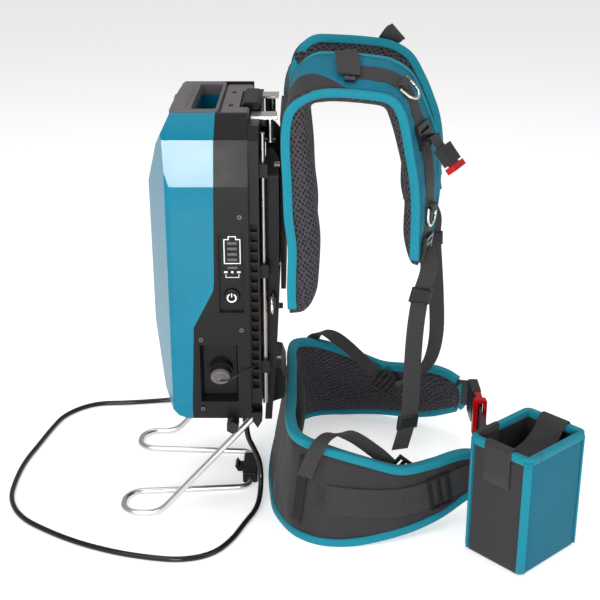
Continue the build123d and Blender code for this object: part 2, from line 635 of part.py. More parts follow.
# Each stabiliser station is its middle and the direction of its width.
stabiliser = [((72, 174, 92), (0.8, 0, -0.6)), ((84, 171, 122), (0.9, 0.1, -0.4)),
              ((100, 160, 139), (0.5, 0.8, 0)), ((126, 143, 131), (0.6, 0.2, 0.7)),
              ((158, 134, 104), (0.62, 0, 0.75)), ((178, 132, 84), (0.62, 0, 0.75))]
STABILISER_HALF = 9.0
hip_webs = []
for side, points in ((-1, near_web), (1, far_web)):
    edges = [((x - 11, side * y - 6, z), (x + 11, side * y + 6, z)) for x, y, z in points]
    hip_webs.append(band(edges, WEB_T))
    faces = [(Vector(x, side * y, z), Vector(a, side * b, c) * STABILISER_HALF)
             for (x, y, z), (a, b, c) in stabiliser]
    hip_webs.append(band([(middle - half, middle + half) for middle, half in faces], WEB_T))
    locks.append(ladder_lock(Plane(origin=(190, side * 126, 74), x_dir=(0.62, 0, 0.78), z_dir=(0, side, 0))))
save(Compound(hip_webs), "hip_webbing")
save(Compound(locks), "ladder_locks")

# ---- waist buckle -------------------------------------------------------------------------------------
def buckle_block(low, high, mode=Mode.ADD):
    """Box between two corners measured from the middle of the waist buckle."""
    middle = (BUCKLE_X, BUCKLE_Y, BUCKLE_Z)
    block(tuple(m + a for m, a in zip(middle, low)), tuple(m + b for m, b in zip(middle, high)), mode)


with BuildPart() as buckle_body:
    buckle_block((-6, -12, -24), (6, 30, 24))
    fillet(buckle_body.edges().filter_by(Axis.X), 5)
    buckle_block((-3.2, -13, -18), (3.2, 18, 18), Mode.SUBTRACT)
    buckle_block((-7, 23, -20), (7, 26.5, 20), Mode.SUBTRACT)
save(buckle_body.part, "waist_buckle_body")

with BuildPart() as buckle_latch:
    buckle_block((-5, -34, -23), (5, -12.4, 23))
    fillet(buckle_latch.edges().filter_by(Axis.X), 4)
    buckle_block((-6, -30, -20), (6, -26.5, 20), Mode.SUBTRACT)
    for prong_z in (-12, 0, 12):
        buckle_block((-2.4, -12.5, prong_z - 3), (-0.2, 15, prong_z + 3))
save(buckle_latch.part, "waist_buckle_latch")

# The release bar goes round the webbing and slides towards the latch, its arms outside it.
with BuildPart() as release_button:
    buckle_block((-9, -46, -26), (9, -36.4, 26))
    fillet(release_button.edges().filter_by(Axis.Y), 3)
    buckle_block((-3, -47, -21), (5, -36, 21), Mode.SUBTRACT)
    for arm_z in (-25.2, 23.4):
        buckle_block((-4, -37, arm_z), (4, -18, arm_z + 1.8))
save(release_button.part, "waist_release_button")

# ---- adapter pouch ------------------------------------------------------------------------------------
pouch_along = (cos(radians(POUCH_TURN)), sin(radians(POUCH_TURN)), 0)
pouch_place = Plane(origin=(POUCH_X, POUCH_Y, 0), x_dir=pouch_along, z_dir=(0, 0, 1))
with BuildPart() as pouch:
    with BuildSketch(pouch_place):
        RectangleRounded(POUCH_LONG, POUCH_WIDE, 8)
    extrude(amount=POUCH_HIGH)
    with BuildSketch(pouch_place.offset(POUCH_WALL)):
        RectangleRounded(POUCH_LONG - 2 * POUCH_WALL, POUCH_WIDE - 2 * POUCH_WALL, 4)
    extrude(amount=POUCH_HIGH, mode=Mode.SUBTRACT)
save(pouch.part, "pouch")

# One strap goes over each short wall and sags across the mouth, and a belt loop goes over one long wall.
# Each path gives the strap's inner face, and the body lies to the left of the path.
STRAP_WIDE, STRAP_SET, LOOP_START = 38.0, 0.6, -46.0
end, side_wall, rim = POUCH_LONG / 2 + STRAP_SET, POUCH_WIDE / 2 + STRAP_SET, POUCH_HIGH + 1
inside = side_wall - POUCH_WALL - 2 * STRAP_SET
sag = [(-end, 106), (-end, rim - 0.6), (-end + 1.2, rim + 0.3), (-end + 5.6, rim + 0.3), (-end + 11, rim - 4),
       (-34, 134), (-8, 124), (16, 126), (36, 138), (end - 11, rim - 4), (end - 5.6, rim + 0.3),
       (end - 1.2, rim + 0.3), (end, rim - 0.6), (end, 128)]
loop = [(inside, 92), (inside, rim - 0.6), (inside + 1.2, rim + 0.3), (side_wall - 1.2, rim + 0.3),
        (side_wall, rim - 0.6), (side_wall, 96)]


def strip(path, place, width):
    """Webbing of even thickness along a flat path, extruded from a plane by its width."""
    left = []
    for i, point in enumerate(path):
        before, after = path[max(i - 1, 0)], path[min(i + 1, len(path) - 1)]
        run = Vector(after[0] - before[0], after[1] - before[1]).normalized()
        left.append((point[0] - run.Y * WEB_T, point[1] + run.X * WEB_T))
    with BuildPart() as made:
        with BuildSketch(place):
            outline(path + left[::-1])
        extrude(amount=width)
    return made.part


pouch_across = pouch_place.y_dir
mouth_place = Plane(origin=pouch_place.origin + pouch_across * (STRAP_WIDE / 2), x_dir=pouch_along,
                    z_dir=-pouch_across)
loop_place = Plane(origin=pouch_place.origin + pouch_place.x_dir * LOOP_START, x_dir=pouch_across,
                   z_dir=pouch_along)
across_mouth = strip(sag, mouth_place, STRAP_WIDE)
belt_loop = strip(loop, loop_place, STRAP_WIDE)
save(Compound([across_mouth, belt_loop]), "pouch_straps")

# ---- power cord ---------------------------------------------------------------------------------------
GLAND_X, GLAND_Y = -1.5, -70.0
with BuildPart() as cord_gland:
    with BuildSketch(Plane.XZ.offset(-GLAND_Y)):
        outline([(0, CASE_BOTTOM), (9, CASE_BOTTOM), (9, 138), (6.6, 137), (6.4, 132), (4.6, 112), (0, 112)])
    revolve(axis=Axis((0, GLAND_Y, 0), (0, 0, 1)))
    with BuildSketch(Plane.XY.offset(100)):
        with Locations((0, GLAND_Y)):
            Circle(CORD_R)
    extrude(amount=12, mode=Mode.SUBTRACT)
save(cord_gland.part.moved(Location((GLAND_X, 0, 0))), "cord_gland")

CONNECTOR_Y, CONNECTOR_Z = 219.0, 10.5
NOSE_R, NOSE_LONG = 6.4, 12.0
cord_route = [
    (-1.5, -70, 112), (-1.5, -70, 92), (8, -64, 69), (15.5, -57, 44), (16, -70, 14), (12, -100, 3.6),
    (-3, -136, 3.6), (-16, -173, 3.6), (-38, -205, 3.6), (-75, -217, 3.6), (-119, -210, 3.6), (-158, -199, 3.6),
    (-204, -179, 3.6), (-246, -153, 3.6), (-286, -122, 3.6), (-309, -78, 3.6), (-313, -30, 3.6), (-312, 20, 3.6),
    (-303, 70, 3.6), (-295, 118, 3.6), (-284, 166, 3.6), (-247, 203, 3.6), (-196, 205, 3.6), (-150, 212, 3.6),
    (-114, 215, 5.5),
    (-88, CONNECTOR_Y, CONNECTOR_Z), (-68, CONNECTOR_Y, CONNECTOR_Z),
]
route_points = [Vector(*point) for point in cord_route]
cord_radii = []
for before, corner, after in zip(route_points, route_points[1:], route_points[2:]):
    turn = (corner - before).get_angle(after - corner)
    shorter = min((corner - before).length, (after - corner).length)
    cord_radii.append(0.45 * shorter / ((1 - cos(radians(turn))) / sin(radians(turn))))
cord_path = FilletPolyline(*cord_route, radius=cord_radii)
power_cord = rod(cord_route, CORD_R, cord_radii)
even_volume = cord_path.length * pi * CORD_R ** 2
print("cord length", round(cord_path.length), "volume ratio", round(power_cord.volume / even_volume, 4))
save(power_cord, "power_cord")

connector_axis = Plane(origin=(-68, CONNECTOR_Y, CONNECTOR_Z), x_dir=(0, 1, 0), z_dir=(1, 0, 0))
with BuildPart() as connector_relief:
    with BuildSketch(connector_axis):
        Circle(4.8)
    with BuildSketch(connector_axis.offset(24)):
        Circle(6.6)
    loft()
save(connector_relief.part, "connector_relief")

with BuildPart() as connector_body:
    with BuildSketch(connector_axis.offset(24)):
        Circle(9.6)
    extrude(amount=20)
    fillet(connector_body.edges().group_by(Axis.X)[0], 2)
    with BuildSketch(connector_axis.offset(44)):
        Circle(6.8)
    extrude(amount=22)
    with BuildSketch(connector_axis.offset(66)):
        Circle(NOSE_R)
    extrude(amount=NOSE_LONG)
    with BuildSketch(connector_axis.offset(66)):
        Circle(5.2)
    extrude(amount=13, mode=Mode.SUBTRACT)
    with BuildSketch(connector_axis.offset(66)):
        with PolarLocations(2.8, 4):
            Circle(0.8)
    extrude(amount=9)
save(connector_body.part, "connector_body")

with BuildPart() as connector_ring:
    with BuildSketch(connector_axis.offset(44.3)):
        Circle(10.2)
        Circle(7.1, mode=Mode.SUBTRACT)
        with PolarLocations(10.6, 16):
            Circle(0.9, mode=Mode.SUBTRACT)
    extrude(amount=20)
save(connector_ring.part, "connector_ring")

# ---- ring on the side of the frame ----------------------------------------------------------------------
side_ring_place = Plane(origin=(33.5, -103, 287), x_dir=(0, 0, 1), z_dir=(-1, 0, 0))
save(d_ring(side_ring_place, 22, RING_WIRE), "frame_ring")
side_loop = slab(side_ring_place, (-7, -2.6, -4), (7, 4.2, 2.6))
keepers.append(side_loop - slab(side_ring_place, (-9, -2.4, -2.1), (9, 2.4, 2.1)))
save(Compound(keepers), "ring_keepers")
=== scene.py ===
"""Looks of the back-carried battery unit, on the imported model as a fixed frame. Lengths are in metres."""
import bpy
from math import cos, pi, radians, sin
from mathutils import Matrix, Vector


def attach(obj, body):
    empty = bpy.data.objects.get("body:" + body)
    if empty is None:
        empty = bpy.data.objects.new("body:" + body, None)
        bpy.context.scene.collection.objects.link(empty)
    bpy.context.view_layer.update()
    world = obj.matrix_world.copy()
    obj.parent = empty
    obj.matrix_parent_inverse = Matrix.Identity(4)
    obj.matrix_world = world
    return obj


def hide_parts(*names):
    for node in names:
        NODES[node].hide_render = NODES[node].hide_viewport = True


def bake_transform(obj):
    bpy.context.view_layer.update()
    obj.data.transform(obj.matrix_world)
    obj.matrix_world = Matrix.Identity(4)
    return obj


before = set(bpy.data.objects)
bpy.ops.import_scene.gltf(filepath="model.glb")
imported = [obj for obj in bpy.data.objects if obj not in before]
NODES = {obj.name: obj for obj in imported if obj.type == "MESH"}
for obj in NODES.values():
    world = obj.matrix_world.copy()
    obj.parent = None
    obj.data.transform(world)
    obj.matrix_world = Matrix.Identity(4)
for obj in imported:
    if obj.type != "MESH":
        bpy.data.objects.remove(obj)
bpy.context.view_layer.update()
MM = 0.001

CAMERA_PLACE, CAMERA_TILT = (0.0665, -1.376, 0.7782), radians(69)
LENS_MM, SENSOR_MM = 69, 36
FLOOR_SIZE, FLOOR_GLOW, SKY_GLOW = 60, 0.40, 0.42
WHITE = (1, 1, 1, 1)
# Soft lights: name, place, target, size and power in watts. The low one makes the broad highlight on the case.
SOFTBOXES = [("front_low", (-0.21, -1.62, 0.46), (-0.08, 0, 0.46), (0.36, 0.26), 12),
             ("key", (-1.3, -1.9, 2.1), (0.1, 0, 0.2), (1.6, 1.6), 26),
             ("fill", (2.0, -1.3, 1.3), (0.1, 0, 0.2), (1.4, 1.4), 12),
             ("top", (0.1, 0.3, 2.6), (0.1, 0, 0), (2.0, 2.0), 24)]

TEAL = (0.0, 0.160, 0.250, 1)
TEAL_CLOTH = (0.0, 0.130, 0.205, 1)
BINDING_TEAL = (0.006, 0.200, 0.270, 1)
CLOTH_GREY = (0.030, 0.028, 0.031, 1)
MESH_GREY = (0.028, 0.025, 0.030, 1)
WEB_BLACK = (0.034, 0.033, 0.034, 1)
PLASTIC_BLACK = (0.008, 0.008, 0.009, 1)


# ---- camera, floor and light -------------------------------------------------------------------------------
def studio():
    """Camera, pale floor and soft lights."""
    camera = bpy.data.objects.new("camera", bpy.data.cameras.new("camera"))
    camera.data.lens, camera.data.sensor_width = LENS_MM, SENSOR_MM
    camera.location = CAMERA_PLACE
    camera.rotation_euler = (CAMERA_TILT, 0, 0)
    bpy.context.scene.collection.objects.link(camera)
    bpy.context.scene.camera = camera
    bpy.context.scene.view_settings.view_transform = "Standard"

    bpy.ops.mesh.primitive_plane_add(size=FLOOR_SIZE)
    floor = bpy.context.object
    floor.name = "floor"
    pale = plain("floor_pale", (0.93, 0.93, 0.93, 1), 0.6)
    glow = pale.node_tree.nodes["Principled BSDF"].inputs
    glow["Emission Color"].default_value = WHITE
    glow["Emission Strength"].default_value = FLOOR_GLOW
    floor.data.materials.append(pale)

    for name, place, target, size, power in SOFTBOXES:
        lamp = bpy.data.lights.new(name, "AREA")
        lamp.shape, lamp.size, lamp.size_y, lamp.energy = "RECTANGLE", size[0], size[1], power
        holder = bpy.data.objects.new(name, lamp)
        holder.location = place
        holder.rotation_euler = (Vector(target) - Vector(place)).to_track_quat("-Z", "Y").to_euler()
        bpy.context.scene.collection.objects.link(holder)

    world = bpy.data.worlds.new("studio")
    bpy.context.scene.world = world
    world.use_nodes = True
    sky = world.node_tree.nodes["Background"].inputs
    sky["Color"].default_value, sky["Strength"].default_value = WHITE, SKY_GLOW


# ---- materials ---------------------------------------------------------------------------------------------
def shader(name, colour, rough, metal=0.0, coat=0.0, sheen=0.0, specular=0.16):
    """New material with its own Principled shader, given with its node tree."""
    made = bpy.data.materials.new(name)
    made.use_nodes = True
    tree = made.node_tree
    bsdf = tree.nodes["Principled BSDF"]
    bsdf.inputs["Base Color"].default_value = colour
    bsdf.inputs["Roughness"].default_value = rough
    bsdf.inputs["Metallic"].default_value = metal
    bsdf.inputs["Specular IOR Level"].default_value = 0.5 if metal else specular
    bsdf.inputs["Coat Weight"].default_value = coat
    bsdf.inputs["Coat Roughness"].default_value = 0.04
    bsdf.inputs["Sheen Weight"].default_value = sheen
    bsdf.inputs["Sheen Roughness"].default_value = 0.5
    return made, tree, bsdf


def node(tree, kind, **values):
    """Adds a node, setting its properties and, by name, its inputs."""
    made = tree.nodes.new(kind)
    for key, value in values.items():
        if key in made.inputs:
            made.inputs[key].default_value = value
        else:
            setattr(made, key, value)
    return made


def vary(tree, bsdf, source, rough, spread, colour, shift):
    """Lets a 0 to 1 pattern vary the roughness and the brightness of the colour a little."""
    ramp = node(tree, "ShaderNodeMapRange")
    ramp.inputs["To Min"].default_value = rough - spread
    ramp.inputs["To Max"].default_value = rough + spread
    tree.links.new(source, ramp.inputs["Value"])
    tree.links.new(ramp.outputs["Result"], bsdf.inputs["Roughness"])
    tint = node(tree, "ShaderNodeValToRGB")
    tint.color_ramp.elements[0].color = [c * (1 - shift) for c in colour[:3]] + [1]
    tint.color_ramp.elements[1].color = [min(1, c * (1 + shift) + shift * 0.01) for c in colour[:3]] + [1]
    tree.links.new(source, tint.inputs["Fac"])
    tree.links.new(tint.outputs["Color"], bsdf.inputs["Base Color"])


def bump(tree, bsdf, height, strength, distance):
    made = node(tree, "ShaderNodeBump", Strength=strength, Distance=distance)
    tree.links.new(height, made.inputs["Height"])
    tree.links.new(made.outputs["Normal"], bsdf.inputs["Normal"])


def coordinates(tree, kind, scale=(1, 1, 1), turn=0.0):
    place = node(tree, "ShaderNodeTexCoord")
    mapping = node(tree, "ShaderNodeMapping")
    mapping.inputs["Scale"].default_value = scale
    mapping.inputs["Rotation"].default_value = (0, 0, turn)
    tree.links.new(place.outputs[kind], mapping.inputs["Vector"])
    return mapping.outputs["Vector"]


def plain(name, colour, rough):
    """Matt surface with a faint mottle."""
    made, tree, bsdf = shader(name, colour, rough)
    noise = node(tree, "ShaderNodeTexNoise", Scale=6.0, Detail=3.0)
    tree.links.new(coordinates(tree, "Object"), noise.inputs["Vector"])
    vary(tree, bsdf, noise.outputs["Fac"], rough, 0.03, colour, 0.01)
    return made


def moulded(name, colour, rough=0.42, grain=900.0, depth=0.00008, coat=0.0):
    """Injection-moulded plastic: a fine spark-eroded grain and a slow change in gloss."""
    made, tree, bsdf = shader(name, colour, rough, coat=coat)
    slow = node(tree, "ShaderNodeTexNoise", Scale=22.0, Detail=4.0)
    fine = node(tree, "ShaderNodeTexNoise", Scale=grain, Detail=2.0)
    tree.links.new(coordinates(tree, "Object"), slow.inputs["Vector"])
    tree.links.new(coordinates(tree, "Object"), fine.inputs["Vector"])
    vary(tree, bsdf, slow.outputs["Fac"], rough, 0.09, colour, 0.14)
    bump(tree, bsdf, fine.outputs["Fac"], 0.35, depth)
    return made


def metal(name, colour, rough, stretch=(60, 60, 900)):
    """Drawn or plated metal, with fine lines along its length."""
    made, tree, bsdf = shader(name, colour, rough, metal=1.0)
    lines = node(tree, "ShaderNodeTexNoise", Scale=1.0, Detail=3.0)
    tree.links.new(coordinates(tree, "Object", stretch), lines.inputs["Vector"])
    vary(tree, bsdf, lines.outputs["Fac"], rough, 0.07, colour, 0.10)
    bump(tree, bsdf, lines.outputs["Fac"], 0.15, 0.00003)
    return made


def grid(tree, pitch, turn=0.0, kind="UV"):
    """0 to 1 weave of two crossing sets of threads, at that pitch in metres."""
    vector = coordinates(tree, kind, (1 / pitch, 1 / pitch, 1 / pitch), turn)
    parts = node(tree, "ShaderNodeSeparateXYZ")
    tree.links.new(vector, parts.inputs["Vector"])
    waves = []
    for axis in "XY":
        turns = node(tree, "ShaderNodeMath", operation="MULTIPLY")
        turns.inputs[1].default_value = 2 * pi
        wave = node(tree, "ShaderNodeMath", operation="SINE")
        tree.links.new(parts.outputs[axis], turns.inputs[0])
        tree.links.new(turns.outputs[0], wave.inputs[0])
        waves.append(wave.outputs[0])
    both = node(tree, "ShaderNodeMath", operation="MULTIPLY")
    tree.links.new(waves[0], both.inputs[0])
    tree.links.new(waves[1], both.inputs[1])
    half = node(tree, "ShaderNodeMath", operation="MULTIPLY_ADD")
    half.inputs[1].default_value, half.inputs[2].default_value = 0.5, 0.5
    tree.links.new(both.outputs[0], half.inputs[0])
    return half.outputs[0]


def woven(name, colour, pitch=0.0022, turn=0.0, rough=0.72, shift=0.35, depth=0.0004, sheen=0.06):
    """Plain-weave cloth."""
    made, tree, bsdf = shader(name, colour, rough, sheen=sheen)
    weave = grid(tree, pitch, turn)
    vary(tree, bsdf, weave, rough, 0.08, colour, shift)
    bump(tree, bsdf, weave, 0.6, depth)
    return made


def spacer_mesh(name, colour, cell=0.0040):
    """Three-dimensional mesh: rows of open holes in a raised net."""
    made, tree, bsdf = shader(name, colour, 0.78, sheen=0.06)
    holes = node(tree, "ShaderNodeTexVoronoi", Scale=1.0, Randomness=0.25)
    tree.links.new(coordinates(tree, "UV", (1 / cell, 0.75 / cell, 1), 0.6), holes.inputs["Vector"])
    ramp = node(tree, "ShaderNodeValToRGB")
    ramp.color_ramp.elements[0].position, ramp.color_ramp.elements[0].color = 0.18, (0.004, 0.004, 0.004, 1)
    ramp.color_ramp.elements[1].position = 0.50
    ramp.color_ramp.elements[1].color = [c * 1.9 for c in colour[:3]] + [1]
    tree.links.new(holes.outputs["Distance"], ramp.inputs["Fac"])
    tree.links.new(ramp.outputs["Color"], bsdf.inputs["Base Color"])
    bump(tree, bsdf, holes.outputs["Distance"], 0.8, 0.0009)
    return made


WAVE_PERIOD = 0.314                      # a band texture repeats after this much of its coordinate


def ribbed(name, colour, pitch=0.0019, kind="UV"):
    """Webbing: ribs across its length, with a slow change in tone."""
    made, tree, bsdf = shader(name, colour, 0.66, sheen=0.06)
    wave = node(tree, "ShaderNodeTexWave", Scale=1.0, Distortion=0.6, wave_type="BANDS", bands_direction="Y")
    tree.links.new(coordinates(tree, kind, (0.2 / pitch, WAVE_PERIOD / pitch, 1)), wave.inputs["Vector"])
    vary(tree, bsdf, wave.outputs["Fac"], 0.66, 0.08, colour, 0.45)
    bump(tree, bsdf, wave.outputs["Fac"], 0.7, 0.0005)
    return made


def strap_cloth(name):
    """Outer cloth of a shoulder strap: grey at its outer edge, teal over the shoulder and down the front."""
    made, tree, bsdf = shader(name, CLOTH_GREY, 0.7, sheen=0.06)
    parts = node(tree, "ShaderNodeSeparateXYZ")
    tree.links.new(coordinates(tree, "UV"), parts.inputs["Vector"])
    # The two colours meet along a slanting line: v less 1.25 times u, at 0.232 m.
    slope = node(tree, "ShaderNodeMath", operation="MULTIPLY_ADD")
    slope.inputs[1].default_value = -1.25
    tree.links.new(parts.outputs["X"], slope.inputs[0])
    tree.links.new(parts.outputs["Y"], slope.inputs[2])
    edge = node(tree, "ShaderNodeMapRange")
    edge.inputs["From Min"].default_value, edge.inputs["From Max"].default_value = 0.231, 0.233
    tree.links.new(slope.outputs[0], edge.inputs["Value"])
    weave = grid(tree, 0.0022)
    grey = node(tree, "ShaderNodeValToRGB")
    teal = node(tree, "ShaderNodeValToRGB")
    for ramp, colour in ((grey, CLOTH_GREY), (teal, TEAL_CLOTH)):
        ramp.color_ramp.elements[0].color = [c * 0.65 for c in colour[:3]] + [1]
        ramp.color_ramp.elements[1].color = [c * 1.35 for c in colour[:3]] + [1]
        tree.links.new(weave, ramp.inputs["Fac"])
    mix = node(tree, "ShaderNodeMix", data_type="RGBA")
    first_colour, second_colour, mixed = mix.inputs[6], mix.inputs[7], mix.outputs[2]
    tree.links.new(edge.outputs["Result"], mix.inputs["Factor"])
    tree.links.new(grey.outputs["Color"], first_colour)
    tree.links.new(teal.outputs["Color"], second_colour)
    tree.links.new(mixed, bsdf.inputs["Base Color"])
    bump(tree, bsdf, weave, 0.6, 0.0004)
    return made


# ---- mesh helpers ------------------------------------------------------------------------------------------
def spline(points, steps=6):
    """Points along a smooth curve through the given ones."""
    points = [Vector(p) for p in points]
    padded = [points[0] * 2 - points[1], *points, points[-1] * 2 - points[-2]]
    out = []
    for a, b, c, d in zip(padded, padded[1:], padded[2:], padded[3:]):
        for k in range(steps):
            t = k / steps
            out.append(0.5 * (2 * b + (c - a) * t + (2 * a - 5 * b + 4 * c - d) * t ** 2
                              + (3 * b - a - 3 * c + d) * t ** 3))
    return out + [points[-1]]


def finish_piece(made, body, smooth=True):
    """Rides a new piece on its body, if it has just one."""
    for face in made.data.polygons:
        face.use_smooth = smooth
    if body:
        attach(made, body)
    return made


def skin(name, rings, materials, pick=None, wrap=True, caps=True):
    """Surface through rings of points, with UVs in metres: u round each ring, v along them."""
    count, last = len(rings[0]), len(rings) - 1
    vertices = [p for ring in rings for p in ring]
    spans = count if wrap else count - 1
    faces, uvs, marks = [], [], []
    along = [0.0]
    for a, b in zip(rings, rings[1:]):
        along.append(along[-1] + (sum(b, Vector()) - sum(a, Vector())).length / count)
    for i in range(last):
        around = 0.0
        for j in range(spans):
            k = (j + 1) % count
            wide = (rings[i][k] - rings[i][j]).length
            faces.append((i * count + j, i * count + k, (i + 1) * count + k, (i + 1) * count + j))
            near_v, far_v = along[i], along[i + 1]
            uvs += [(around, near_v), (around + wide, near_v), (around + wide, far_v), (around, far_v)]
            around += wide
            marks.append(pick(i, j) if pick else 0)
    if caps and wrap:
        for ring, order in ((0, range(count - 1, -1, -1)), (last, range(count))):
            faces.append([ring * count + j for j in order])
            uvs += [(rings[ring][j].y, rings[ring][j].z) for j in order]
            marks.append(pick(min(ring, last - 1), count - 2) if pick else 0)
    mesh = bpy.data.meshes.new(name)
    mesh.from_pydata(vertices, [], faces)
    layer = mesh.uv_layers.new(name="UVMap")
    for corner, uv in enumerate(uvs):
        layer.data[corner].uv = uv
    for material in materials:
        mesh.materials.append(material)
    mesh.polygons.foreach_set("material_index", marks)
    mesh.update()
    made = bpy.data.objects.new(name, mesh)
    bpy.context.scene.collection.objects.link(made)
    return made


# Section of a webbing, in parts of its width and of its thickness.
WEB_SECTION = [(-0.5, 0.0), (-0.48, 0.42), (-0.42, 0.5), (0.0, 0.5), (0.42, 0.5), (0.48, 0.42), (0.5, 0.0),
               (0.48, -0.42), (0.42, -0.5), (0.0, -0.5), (-0.42, -0.5), (-0.48, -0.42)]


def ribbon(name, centres, acrosses, width, thick, material, body="unit", steps=5, raised=0.0):
    """Flat webbing, with rounded edges. Each station has a centre and a direction across the webbing."""
    points, sides = spline(centres, steps), spline(acrosses, steps)
    rings = []
    for i, (middle, side) in enumerate(zip(points, sides)):
        along = (points[min(i + 1, len(points) - 1)] - points[max(i - 1, 0)]).normalized()
        side = (side - along * side.dot(along)).normalized()
        up = along.cross(side)
        rings.append([middle + up * raised + side * (a * width) + up * (b * thick) for a, b in WEB_SECTION])
    return finish_piece(skin(name, rings, [material]), body)


def tube(name, points, radius, material, body, steps=6, sides=14):
    """Round tube along a smooth curve, its ends drawn in."""
    path = spline(points, steps)
    rings, up = [], Vector((0, 0, 1))
    for i, middle in enumerate(path):
        along = (path[min(i + 1, len(path) - 1)] - path[max(i - 1, 0)]).normalized()
        side = along.cross(up if abs(along.dot(up)) < 0.95 else Vector((0, 1, 0))).normalized()
        lift = side.cross(along)
        size = radius * (0.7 if i in (0, len(path) - 1) else 1)
        rings.append([middle + (side * cos(2 * pi * k / sides) + lift * sin(2 * pi * k / sides)) * size
                      for k in range(sides)])
    return finish_piece(skin(name, rings, [material]), body)


STITCH_SIDES = 6


def stitches(name, lines, body, material, pitch=0.004, radius=0.00045):
    """Rows of short raised stitches along the lines, as one piece. Each is three rings, thin at its ends."""
    vertices, faces = [], []
    for line in lines:
        for a, b in zip(line, line[1:]):
            count = max(1, round((b - a).length / pitch))
            for k in range(count):
                start, end = a.lerp(b, (k + 0.15) / count), a.lerp(b, (k + 0.8) / count)
                along = (end - start).normalized()
                side = along.cross(Vector((0.3, 0.5, 0.8))).normalized()
                lift = along.cross(side)
                first = len(vertices)
                for place, size in ((start, radius * 0.5), (start.lerp(end, 0.5), radius), (end, radius * 0.5)):
                    for q in range(STITCH_SIDES):
                        turn = q * 2 * pi / STITCH_SIDES
                        vertices.append(place + (side * cos(turn) + lift * sin(turn)) * size)
                for ring in (0, 1):
                    for q in range(STITCH_SIDES):
                        r = (q + 1) % STITCH_SIDES
                        low = first + ring * STITCH_SIDES
                        high = low + STITCH_SIDES
                        faces.append((low + q, low + r, high + r, high + q))
    mesh = bpy.data.meshes.new(name)
    mesh.from_pydata(vertices, [], faces)
    mesh.materials.append(material)
    made = bpy.data.objects.new(name, mesh)
    bpy.context.scene.collection.objects.link(made)
    return finish_piece(made, body)


def bars(name, place, boxes, material, body="unit", rounding=0.0006):
    """Rounded bars as one piece. The place is a middle and three directions, and each box two corners in mm."""
    middle, x_dir, y_dir, z_dir = place
    vertices, faces = [], []
    for low, high in boxes:
        first = len(vertices)
        for x in (low[0], high[0]):
            for y in (low[1], high[1]):
                for z in (low[2], high[2]):
                    vertices.append(middle + (x_dir * x + y_dir * y + z_dir * z) * MM)
        for corners in ((0, 1, 3, 2), (4, 6, 7, 5), (0, 4, 5, 1), (2, 3, 7, 6), (0, 2, 6, 4), (1, 5, 7, 3)):
            faces.append([first + k for k in corners])
    mesh = bpy.data.meshes.new(name)
    mesh.from_pydata(vertices, [], faces)
    mesh.materials.append(material)
    made = bpy.data.objects.new(name, mesh)
    bpy.context.scene.collection.objects.link(made)
    soft = made.modifiers.new("rounding", "BEVEL")
    soft.width, soft.segments = rounding, 2
    return finish_piece(made, body, smooth=False)


def points_mm(values):
    return [Vector(value) * MM for value in values]


ACROSS_FACES, LINING_FACES = 8, 16
PAD_CROWN = 0.0010                       # how far a pad's outward face rises between its edges


def pad_ring(middle, across, normal, half, deep, wrinkle, seam_depth=0.10):
    """Section of a stuffed pad: its outward face first, then the lining bulging away from the normal.

    The wrinkles die out at the middle, where webbing presses the pad flat, and at the edges.
    """
    ring = []
    for j in range(ACROSS_FACES + 1):
        t = -1 + 2 * j / ACROSS_FACES
        rise = PAD_CROWN * (1 - t * t) + wrinkle * 4 * t * t * (1 - t * t)
        ring.append(middle + across * (half * t) + normal * rise)
    for j in range(1, LINING_FACES):
        turn = pi * j / LINING_FACES
        reach_out = abs(cos(turn)) ** 0.55 * (1 if cos(turn) > 0 else -1)
        seam = 1 - seam_depth * max(0.0, 1 - abs(j - LINING_FACES / 2) / 1.2)
        bulge = deep * sin(turn) ** 0.62 * seam - 0.0006
        ring.append(middle + across * (half * reach_out * 0.97) - normal * bulge)
    return ring


def outer_first(i, j):
    """Material of a pad's face: 0 for its outward cloth and 1 for its lining."""
    return 0 if j < ACROSS_FACES else 1


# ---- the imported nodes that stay, with their materials ------------------------------------------------------
studio()
cloth = woven("ripstop_grey", CLOTH_GREY)
teal_cloth = woven("pouch_teal", TEAL_CLOTH, pitch=0.0016, shift=0.16)
binding = woven("binding_teal", BINDING_TEAL, pitch=0.0026, turn=0.78, shift=0.26)
mesh_cloth = spacer_mesh("mesh_lining", MESH_GREY)
strap_face = strap_cloth("strap_cloth")
lining = woven("lining_black", (0.014, 0.014, 0.016, 1), pitch=0.0018, shift=0.2)
web = ribbed("webbing_black", WEB_BLACK)
web_solid = ribbed("webbing_fold", WEB_BLACK, kind="Object")
thread = woven("thread_black", (0.03, 0.03, 0.032, 1), pitch=0.0008, shift=0.2)
black = moulded("moulded_black", PLASTIC_BLACK)
hardware = moulded("buckle_plastic", (0.014, 0.014, 0.015, 1), rough=0.34, coat=0.15)
case_black = moulded("case_black", (0.0080, 0.0070, 0.0080, 1), rough=0.36)
grip_grey = moulded("grip_grey", (0.135, 0.122, 0.125, 1), rough=0.5)
teal_gloss = moulded("cover_teal", TEAL, rough=0.16, grain=160.0, depth=0.00001, coat=0.10)
red = moulded("release_red", (0.40, 0.0, 0.002, 1), rough=0.3, coat=0.1)
steel = metal("stand_steel", (0.66, 0.65, 0.63, 1), 0.30)
dark_steel = metal("screw_steel", (0.10, 0.10, 0.10, 1), 0.38)
rail_steel = metal("rail_steel", (0.36, 0.32, 0.30, 1), 0.34)
nickel = metal("ring_nickel", (0.78, 0.72, 0.62, 1), 0.16, (300, 300, 300))
rubber = moulded("cord_jacket", (0.008, 0.008, 0.0085, 1), rough=0.22, grain=300.0, coat=0.3)
white_print = plain("white_print", (0.80, 0.80, 0.79, 1), 0.5)
lamp_grey = moulded("lamp_lens", (0.075, 0.075, 0.078, 1), rough=0.2, coat=0.5)
